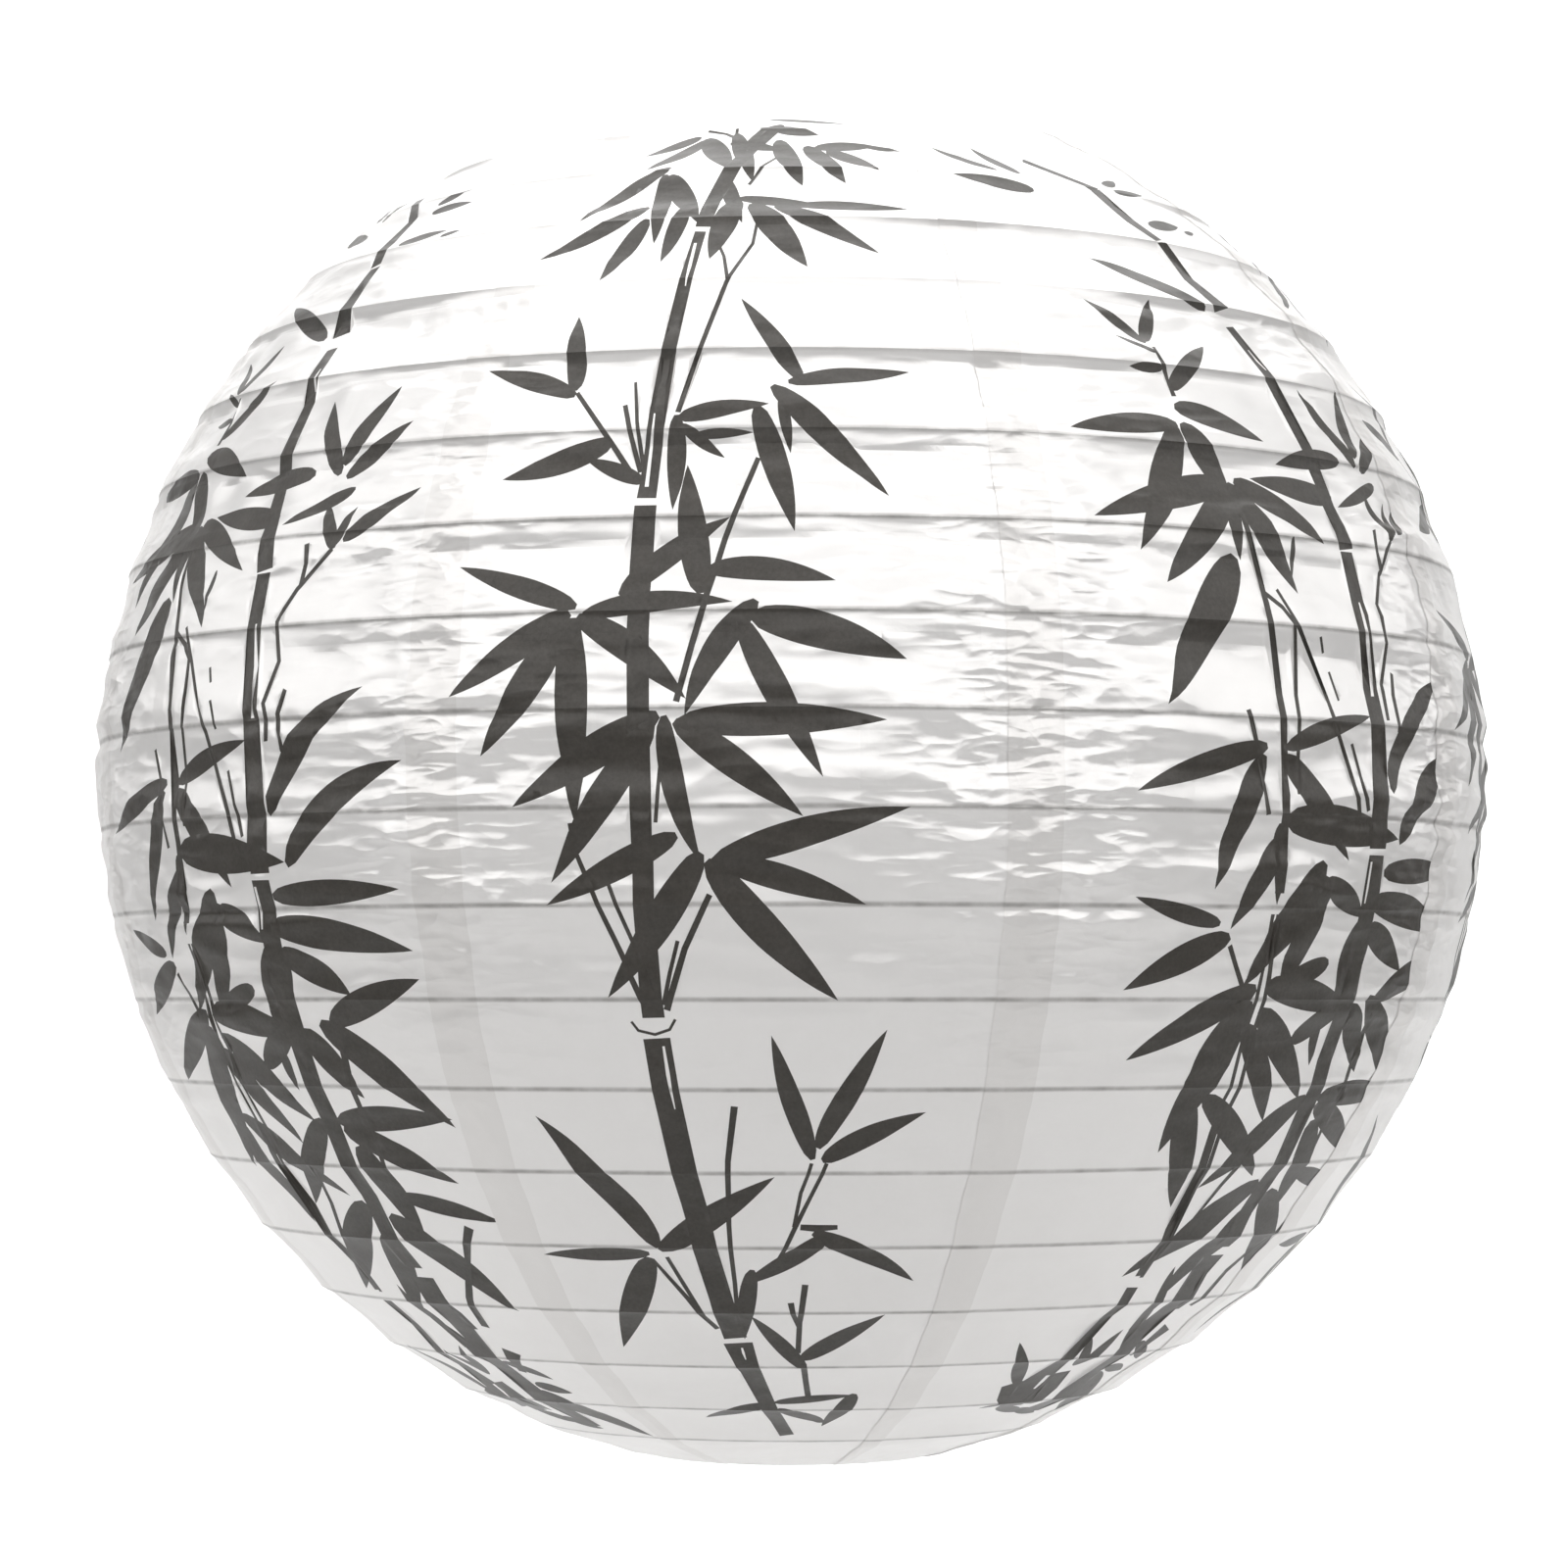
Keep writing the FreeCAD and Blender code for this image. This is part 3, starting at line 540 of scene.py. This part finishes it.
twin_stems = [
    [(34.0, 54.0, 2.6), (37.6, 52.4, 3.0), (41.8, 49.9, 3.4)],
    [(41.6, 50.0, 4.4), (43.2, 46.4, 4.4), (44.6, 43.8, 3.8)],
    [(44.8, 43.6, 4.2), (45.6, 40.0, 4.8), (46.8, 36.6, 6.2)],
    [(47.0, 35.2, 4.6), (48.0, 30.0, 4.8), (48.9, 23.6, 5.4), (49.4, 19.4, 5.4), (50.0, 15.8, 6.4)],
    [(49.9, 15.6, 5.8), (50.0, 11.6, 5.8), (50.6, 5.0, 6.4), (51.2, -2.0, 7.6), (51.3, -7.2, 8.0)],
    [(51.2, -7.7, 6.6), (51.2, -14.0, 7.0), (51.2, -24.0, 7.0), (51.3, -34.0, 7.2), (51.2, -41.4, 7.8)],
    [(51.2, -42.4, 7.8), (51.0, -48.0, 7.6), (50.6, -54.0, 7.6), (50.8, -60.0, 10.0), (51.0, -64.6, 12.0)],
    [(37.8, 18.4, 2.0), (38.7, 10.9, 2.2), (39.3, 4.0, 2.4), (39.8, -4.6, 2.8), (39.9, -10.8, 3.4)],
    [(40.2, -12.4, 1.4), (40.4, -18.0, 1.4), (40.6, -28.0, 1.5), (41.0, -40.0, 1.6), (41.1, -44.4, 1.8)],
    [(39.6, -12.4, 1.2), (39.5, -20.0, 1.2), (39.5, -30.0, 1.3), (39.9, -39.0, 1.5), (40.3, -44.2, 1.7)],
    [(39.9, -29.6, 2.2), (40.3, -37.0, 2.4), (40.7, -44.2, 2.8)],
    [(40.7, -45.4, 3.6), (40.4, -48.8, 3.4), (39.4, -54.6, 5.2), (39.6, -58.6, 12.0), (40.6, -62.6, 11.0)],
    [(38.5, 11.8, 1.4), (40.4, 10.6, 1.4), (41.5, 9.4, 1.4), (41.1, 4.0, 1.4), (41.1, -3.4, 1.4)],
    [(40.2, 12.0, 1.2), (41.9, 9.2, 1.4), (44.6, 3.6, 1.5), (47.6, -2.6, 1.6), (49.0, -5.8, 1.7)],
    [(47.6, 0.6, 1.2), (48.6, -2.0, 1.3), (49.6, -4.4, 1.4)],
    [(35.9, 2.7, 1.6), (36.9, -0.6, 1.6), (38.0, -5.0, 1.6)],
    [(57.5, 17.0, 1.4), (54.2, 14.1, 1.5), (52.7, 11.6, 1.5), (53.3, 8.6, 1.5), (52.3, 5.4, 1.6),
     (52.5, 2.6, 1.6)],
    [(54.5, 17.6, 1.8), (54.9, 16.0, 1.5), (54.4, 14.2, 1.3)],
    [(54.4, 6.4, 1.6), (53.7, 4.6, 1.7), (54.2, 1.8, 1.8)],
    [(44.6, 8.6, 1.0), (45.0, 7.4, 1.0)], [(45.4, 6.0, 1.0), (46.0, 3.8, 1.0)],
    [(34.1, 31.8, 1.4), (34.4, 29.6, 1.5), (34.6, 27.6, 1.6)],
    [(35.6, -14.8, 1.5), (36.6, -16.4, 1.5), (37.8, -18.2, 1.6)],
    [(45.4, -31.0, 1.6), (44.2, -35.0, 1.7), (43.0, -38.6, 1.8)],
    [(56.2, -20.0, 2.6), (55.8, -24.4, 2.0), (56.0, -32.0, 1.6)],
    [(62.7, -36.6, 2.8), (59.9, -40.4, 1.8), (56.9, -44.4, 2.6), (55.3, -48.2, 3.0)],
    [(52.5, -44.0, 1.8), (53.1, -46.4, 1.8), (53.1, -48.6, 2.0)],
    [(56.2, -51.2, 6.0), (54.9, -52.8, 3.6), (53.7, -54.6, 2.6)],
    [(46.2, -46.6, 2.0), (46.9, -48.6, 2.6), (48.2, -51.0, 4.0)],
    [(35.2, -58.4, 6.0), (36.8, -60.0, 8.0), (39.6, -61.4, 8.0)],
    [(43.0, -57.0, 6.0), (44.2, -59.6, 8.0), (43.2, -62.0, 8.0)],
]
twin_gaps = [
    [(47.7, 33.0, 0.5), (47.9, 31.9, 0.9), (48.3, 31.0, 0.4)],
    [(50.2, 11.6, 0.6), (50.6, 8.4, 1.7), (50.8, 4.4, 1.4)],
    [(50.4, -8.2, 0.9), (50.4, -10.2, 1.0), (50.5, -11.4, 0.6)],
    [(40.9, -57.4, 1.4), (41.1, -58.4, 1.6), (41.0, -59.4, 0.8)],
]


def inside_outline(points, outline):
    """True for each point inside the closed outline, by counting edge crossings to its right."""
    x, y = points[:, 0], points[:, 1]
    inside = np.zeros(len(points), bool)
    ends = np.roll(outline, -1, axis=0)
    for (ax, ay), (bx, by) in zip(outline, ends):
        crosses = (ay > y) != (by > y)
        if by != ay:
            inside ^= crosses & (x < (bx - ax) * (y - ay) / (by - ay) + ax)
    return inside


def paper_rows():
    """Latitudes of the mesh rows: one on every hoop, about 1.8 mm apart, closest under the hoops."""
    rows = [hoop_latitudes[0]]
    for upper, lower in zip(hoop_latitudes[:-1], hoop_latitudes[1:]):
        count = max(int(round((upper - lower) / row_spacing)), 2)
        rows.extend(upper + (lower - upper) * np.linspace(0, 1, count + 1)[1:] ** row_crowding)
    return np.array(rows)


def printed_sheet(start, leaves, stems, gaps, slip):
    """The flat net of one gore, cut by the outlines of its print, which slips by two angles.

    A grid of rows and columns and every outline go through a constrained Delaunay
    triangulation, so the edge of the ink is an edge of the mesh. Both sides of a lap have
    the same columns, so the sheets don't cut each other. Returns the points as longitude
    and latitude, the triangles, and which triangles are ink.
    """
    rows = paper_rows()
    lap_columns = np.linspace(-lap_width, 0, lap_steps + 1)
    body_columns = np.linspace(start, start + gore_width - lap_width, body_steps + 1)
    columns = np.concatenate((start + lap_columns[:-1], body_columns[:-1], start + gore_width + lap_columns))
    grid = np.stack(np.meshgrid(columns, rows), axis=-1).reshape(-1, 2)
    across = len(columns)
    on_hoop = np.flatnonzero(np.isclose(rows[:, None], hoop_latitudes[None, :]).any(axis=1))
    borders = [(row * across + i, row * across + i + 1) for row in on_hoop for i in range(across - 1)]
    for column in (0, lap_steps, across - 1):
        borders += [(row * across + column, (row + 1) * across + column) for row in range(len(rows) - 1)]
    inks = [leaf_outline(leaf) + slip for leaf in leaves] + [stem_outline(stem) + slip for stem in stems]
    whites = [stem_outline(stem) + slip for stem in gaps]
    points = [grid]
    total = len(grid)
    for outline in inks + whites:
        points.append(outline)
        count = len(outline)
        borders += [(total + i, total + (i + 1) % count) for i in range(count)]
        total += count
    points = np.concatenate(points)
    result = delaunay_2d_cdt([Vector(point) for point in points.tolist()], borders, [], 0, 1e-6)
    flat = np.array([tuple(point) for point in result[0]])
    triangles = np.array([tuple(face) for face in result[2] if len(face) == 3])
    centres = flat[triangles].mean(axis=1)
    keep = (centres[:, 0] > columns[0]) & (centres[:, 0] < columns[-1])
    keep &= (centres[:, 1] < rows[0]) & (centres[:, 1] > rows[-1])
    triangles, centres = triangles[keep], centres[keep]
    ink = np.zeros(len(centres), bool)
    for outlines, colour in ((inks, True), (whites, False)):
        for outline in outlines:
            near = np.flatnonzero(
                ((centres >= outline.min(axis=0)) & (centres <= outline.max(axis=0))).all(axis=1)
            )
            hit = near[inside_outline(centres[near], outline)]
            ink[hit] = colour
    used, triangles = np.unique(triangles, return_inverse=True)
    return flat[used], triangles.reshape(-1, 3), ink


def blend_colours(tree, share, first, second):
    """Mixes two colours, each a plain colour or a signal, by a share from 0 to 1.

    In the Mix node's list of sockets, 0 is the share and 6 and 7 are the two colours.
    """
    node = tree.nodes.new("ShaderNodeMix")
    node.data_type = "RGBA"
    for place, value in ((0, share), (6, first), (7, second)):
        if isinstance(value, Signal):
            tree.links.new(value.socket, node.inputs[place])
        else:
            node.inputs[place].default_value = value
    return Signal(tree, node.outputs[2])


printed_paper, tree, shader = new_material("printed_paper")
place = add_node(tree, "ShaderNodeTexCoord", {}, {}, "Object")
ink_mask = add_node(tree, "ShaderNodeAttribute", {"attribute_name": "ink"}, {}, "Fac")
lap_mask = add_node(tree, "ShaderNodeAttribute", {"attribute_name": "lap"}, {}, "Fac")
from_hoop = add_node(tree, "ShaderNodeAttribute", {"attribute_name": "from_hoop"}, {}, "Fac")
pulp = add_node(
    tree, "ShaderNodeTexNoise", {}, {"Vector": place, "Scale": 140.0, "Detail": 4.0, "Roughness": 0.6}, 0
)
fibre = add_node(
    tree, "ShaderNodeTexNoise", {}, {"Vector": place, "Scale": 900.0, "Detail": 3.0, "Roughness": 0.7}, 0
)
grain = add_node(tree, "ShaderNodeTexNoise", {}, {"Vector": place, "Scale": 2600.0, "Detail": 2.0}, 0)
# White tissue with a satin calendered face, which the thin brush ink dulls. Toned at random by its pulp,
# with painted shade on the laps for the light the double sheet keeps back, and a painted shadow line
# along each hoop for the crease and the wire behind the paper, weaker towards the crown.
paper_light, paper_dark = (0.875, 0.862, 0.85, 1), (0.785, 0.768, 0.752, 1)
ink_light, ink_dark = (0.056, 0.050, 0.043, 1), (0.026, 0.023, 0.019, 1)
net = add_node(tree, "ShaderNodeUVMap", {"uv_map": "net"}, {}, 0)
net_height = add_node(tree, "ShaderNodeSeparateXYZ", {}, {"Vector": net}, "Y")
# Painted shadow: a grey line along each hoop for the crease and the wire behind the paper, weaker towards the
# crown.
hoop_shadow_colour = (0.30, 0.29, 0.28, 1)
painted_hoop_shadow = (1 - from_hoop.ramp(0.25, 1.0)) * (pulp * 1.5 + 0.15) * (1 - net_height.ramp(0.06, 0.13) * 0.85)
# Random pulp and fibre tone, plus painted shade on the laps for the light the double sheet keeps back.
pulp_tone_and_lap_shade = (pulp - 0.5) * 0.35 + (fibre - 0.5) * 0.25 + lap_mask * 0.8 + 0.15
sheet_colour = blend_colours(tree, pulp_tone_and_lap_shade.ramp(0.0, 1.0), paper_light, paper_dark)
sheet_colour = blend_colours(tree, painted_hoop_shadow * 0.75, sheet_colour, hoop_shadow_colour)
ink_colour = blend_colours(tree, (fibre * 0.6 + pulp * 0.6 - 0.1).ramp(0.2, 0.8), ink_dark, ink_light)
feed(tree, blend_colours(tree, ink_mask, sheet_colour, ink_colour), shader.inputs["Base Color"])
feed(tree, 0.40 + (pulp - 0.5) * 0.12, shader.inputs["Roughness"])
feed(tree, 0.60 - ink_mask * 0.48, shader.inputs["Metallic"])
crumple_mask = add_node(tree, "ShaderNodeAttribute", {"attribute_name": "crumple"}, {}, "Fac")
fold_depth = add_node(tree, "ShaderNodeAttribute", {"attribute_name": "folded"}, {}, "Fac")


def on_net(across, along, turn=0.0):
    """The flat coordinates of the paper divided by a size in millimetres each way."""
    sockets = {"Vector": net, "Scale": (1 / (across * MM), 1 / (along * MM), 1.0), "Rotation": (0, 0, turn)}
    return add_node(tree, "ShaderNodeMapping", {"vector_type": "POINT"}, sockets, 0)


def ridges(vector, detail, sharpness):
    """Sharp crests where a noise crosses its middle, 1 on the crest and falling away."""
    numbers = {"Vector": vector, "Scale": 1.0, "Detail": detail, "Roughness": 0.45}
    noise = add_node(tree, "ShaderNodeTexNoise", {}, numbers, 0)
    apart = (noise - 0.5) * 4
    return 1 - (apart * apart + 0.006).math("MINIMUM", 1) ** (sharpness / 2)


# Long tension creases over the middle belt, sharp facets and stars where the paper is crumpled,
# the rest of the fold under each hoop, and the grain of the pulp.
tension = add_node(
    tree, "ShaderNodeTexNoise", {}, {"Vector": on_net(60, 30), "Scale": 1.0, "Detail": 1.0}, 0
).ramp(0.35, 0.65)
streaks = (
    ridges(on_net(44, 9), 1.0, 0.9) * 0.45
    + ridges(on_net(27, 11, 0.30), 1.0, 0.9) * 0.5
    + ridges(on_net(24, 10, -0.36), 1.0, 0.9) * 0.4
)
facets = add_node(
    tree, "ShaderNodeTexVoronoi", {"feature": "SMOOTH_F1"},
    {"Vector": on_net(16, 10, 0.5), "Scale": 1.0, "Smoothness": 0.12}, 0,
)
small_facets = add_node(tree, "ShaderNodeTexVoronoi", {}, {"Vector": on_net(7, 5, -0.5), "Scale": 1.0}, 0)
stars = ridges(on_net(22, 6, 0.9), 1.0, 0.7) + ridges(on_net(22, 6, -0.8), 1.0, 0.7)
middle_belt = net_height.ramp(-0.13, -0.04) * (1 - net_height.ramp(0.12, 0.20)) + 0.3
height = (
    streaks * (tension * 0.7 + 0.2) * middle_belt * 0.9
    + crumple_mask * (facets * 2.7 + small_facets * 0.7 + stars * 0.8)
    + (fibre * 0.6 + grain * 0.4) * 0.03
    - fold_depth * 0.6
)
bump = add_node(tree, "ShaderNodeBump", {}, {"Strength": 1.0, "Distance": 0.0009, "Height": height}, 0)
feed(tree, bump, shader.inputs["Normal"])
# The ink has a patchy gloss, and the bare sheet lets some light through.
feed(tree, ink_mask * (streaks * 0.12 + fibre * 0.12 - 0.04), shader.inputs["Coat Weight"])
shader.inputs["Coat IOR"].default_value = 2.0
shader.inputs["Coat Roughness"].default_value = 0.28
shader.inputs["IOR"].default_value = 1.33
see_through = tree.nodes.new("ShaderNodeBsdfTranslucent")
see_through.inputs["Color"].default_value = paper_light
thin_sheet = tree.nodes.new("ShaderNodeMixShader")
feed(tree, 0.12 - ink_mask * 0.11 - lap_mask * 0.03, thin_sheet.inputs["Fac"])
tree.links.new(shader.outputs[0], thin_sheet.inputs[1])
tree.links.new(see_through.outputs[0], thin_sheet.inputs[2])
tree.links.new(thin_sheet.outputs[0], tree.nodes["Material Output"].inputs["Surface"])

# How far each gore's print is slipped in longitude and latitude by the hand that pastes it.
print_slip = [(0, 0), (0, 0), (0.9, -0.7), (-1.6, 0.5), (-0.6, 0.8), (-2.4, -0.9), (0.5, -0.4), (-5.5, -2.0)]
fold_range = next(joint for joint in frame["joints"] if joint["name"] == "shade_fold")["range_m"][1]
folded_share = 1 - fold_range / (top_level - bottom_level)
for number in range(1, gore_count + 1):
    shift = (number - 1) // 2 * 2 * gore_width
    own_start = first_seam - front + (0 if number % 2 else gore_width)
    drawing = (tall_leaves, tall_stems, tall_gaps) if number % 2 else (twin_leaves, twin_stems, twin_gaps)
    flat, triangles, ink = printed_sheet(own_start, *drawing, np.array(print_slip[number - 1]))
    past = np.clip((own_start + 0.5 - flat[:, 0]) / 1.0, 0, 1)
    lift = lap_lift * past * past * (3 - 2 * past)
    points, folded = paper_surface(flat[:, 0] + shift, flat[:, 1], lift)
    gore = surface_mesh("paper_gore_%d" % number, points, triangles, printed_paper)
    mesh = gore.data
    from_back = flat[:, 0] + shift - (360 if number > gore_count // 2 else 0)
    net_points = np.stack([from_back, flat[:, 1]], axis=1) * degree_length
    layer = mesh.uv_layers.new(name="net")
    layer.data.foreach_set("uv", net_points[triangles].astype(np.float32).ravel())
    for label, domain, values in (
        ("crumple", "POINT", crumpled(flat[:, 0] + shift, flat[:, 1])),
        ("folded", "POINT", folded),
        ("ink", "FACE", ink),
        ("lap", "FACE", flat[triangles].mean(axis=1)[:, 0] < own_start),
        ("from_hoop", "POINT", np.abs(flat[:, 1:2] - hoop_latitudes[None, :]).min(axis=1) * degree_length / MM),
    ):
        attribute = mesh.attributes.new(label, "FLOAT", domain)
        attribute.data.foreach_set("value", values.astype(np.float32))
    ends = np.zeros(len(mesh.edges) * 2, int)
    mesh.edges.foreach_get("vertices", ends)
    on_hoop = np.isclose(flat[:, 1:2], hoop_latitudes[None, :], atol=1e-4).any(axis=1)
    sharp = mesh.attributes.new("sharp_edge", "BOOLEAN", "EDGE")
    sharp.data.foreach_set("value", on_hoop[ends.reshape(-1, 2)].all(axis=1))
    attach(gore, "spreader_and_shade")
    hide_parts("gore_%d" % number)
    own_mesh(gore)


# ---------------------------------------------------------------- hems
# At each end the paper is turned in over the end ring and pasted down inside the gores as a
# strip about 12 mm deep.
def hem_surface(side):
    """A profile turned round the axis: the pasted strip, then most of a circle round the ring.

    side is 1 at the top and -1 at the bottom.
    """
    ring = "top_ring" if side > 0 else "bottom_ring"
    ring_level = hoop_height(ring)
    ring_radius = (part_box(ring)[1][0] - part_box(ring)[0][0]) / 2 - 1.0 * MM
    wrap = 1.5 * MM
    strip_radius = paper_radius - 0.75 * MM
    strip = np.radians(np.linspace(end_latitude - 3.5, end_latitude - 0.35, 8))
    strip_points = np.stack([strip_radius * np.cos(strip), strip_radius * np.sin(strip)], axis=1)
    around = np.radians(np.linspace(end_latitude - 10, end_latitude + 215, 26))
    centre = np.array([ring_radius, side * (ring_level - shade_middle)])
    circle = centre + wrap * np.stack([np.cos(around), np.sin(around)], axis=1)
    profile = np.concatenate([strip_points, circle])
    turn = np.linspace(0, 2 * math.pi, 241)[:-1]
    flutter = 0.12 * MM * lattice_noise(turn * paper_radius / MM, 0 * turn, 12, 40, 31 + side)
    radius = profile[:, :1] + flutter[None, :]
    level = shade_middle + side * profile[:, 1:]
    points = np.stack([radius * np.cos(turn), radius * np.sin(turn), level + 0 * radius], axis=-1)
    return points.reshape(-1, 3), grid_faces(len(profile), len(turn), True)


for side, label, body in ((1, "top_hem", "spreader_and_shade"), (-1, "bottom_hem", "bottom_rim")):
    points, faces = hem_surface(side)
    hem = surface_mesh("paper_" + label, points, faces if side < 0 else faces[:, ::-1], printed_paper)
    attribute = hem.data.attributes.new("from_hoop", "FLOAT", "POINT")
    attribute.data.foreach_set("value", np.full(len(points), 9.0, np.float32))
    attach(hem, body)
    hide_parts(label)


# ---------------------------------------------------------------- hoops and rings
# Ribs of 1 mm drawn steel wire butt-welded into closed hoops, and two end rings of 2 mm wire.
drawn_wire, tree, shader = new_material("drawn_wire")
place = add_node(tree, "ShaderNodeTexCoord", {}, {}, "Object")
drawing = add_node(tree, "ShaderNodeTexNoise", {}, {"Vector": place, "Scale": 700.0, "Detail": 4.0}, 0)
tarnish = add_node(tree, "ShaderNodeTexNoise", {}, {"Vector": place, "Scale": 60.0, "Detail": 5.0}, 0)
feed(
    tree,
    blend_colours(tree, tarnish.ramp(0.35, 0.7), (0.50, 0.50, 0.51, 1), (0.36, 0.34, 0.32, 1)),
    shader.inputs["Base Color"],
)
shader.inputs["Metallic"].default_value = 1.0
feed(tree, 0.30 + drawing * 0.2, shader.inputs["Roughness"])
for name in ribs + ["top_ring", "bottom_ring"]:
    for slot in frame["nodes"][name].material_slots:
        slot.material = drawn_wire


# ---------------------------------------------------------------- spreader
# A stamped washer that the lamp holder passes through, two bent legs welded under it and four
# short welded hooks that hold the end rings apart, all zinc plated.
zinc_plate, tree, shader = new_material("zinc_plate")
place = add_node(tree, "ShaderNodeTexCoord", {}, {}, "Object")
spangle = add_node(tree, "ShaderNodeTexVoronoi", {}, {"Vector": place, "Scale": 260.0}, "Color")
cloud = add_node(tree, "ShaderNodeTexNoise", {}, {"Vector": place, "Scale": 90.0, "Detail": 5.0}, 0)
scratch = add_node(tree, "ShaderNodeTexNoise", {}, {"Vector": place, "Scale": 1500.0, "Detail": 2.0}, 0)
zinc_tone = blend_colours(tree, cloud.ramp(0.35, 0.7), (0.66, 0.67, 0.69, 1), (0.52, 0.53, 0.56, 1))
feed(tree, blend_colours(tree, 0.06, zinc_tone, spangle), shader.inputs["Base Color"])
shader.inputs["Metallic"].default_value = 1.0
feed(tree, 0.26 + cloud * 0.22, shader.inputs["Roughness"])
bump = add_node(tree, "ShaderNodeBump", {}, {"Strength": 0.08, "Distance": 0.0002, "Height": scratch}, 0)
feed(tree, bump, shader.inputs["Normal"])
for name in frame["nodes"]:
    if name.endswith(("_leg", "_hook", "_plate")):
        for slot in frame["nodes"][name].material_slots:
            slot.material = zinc_plate
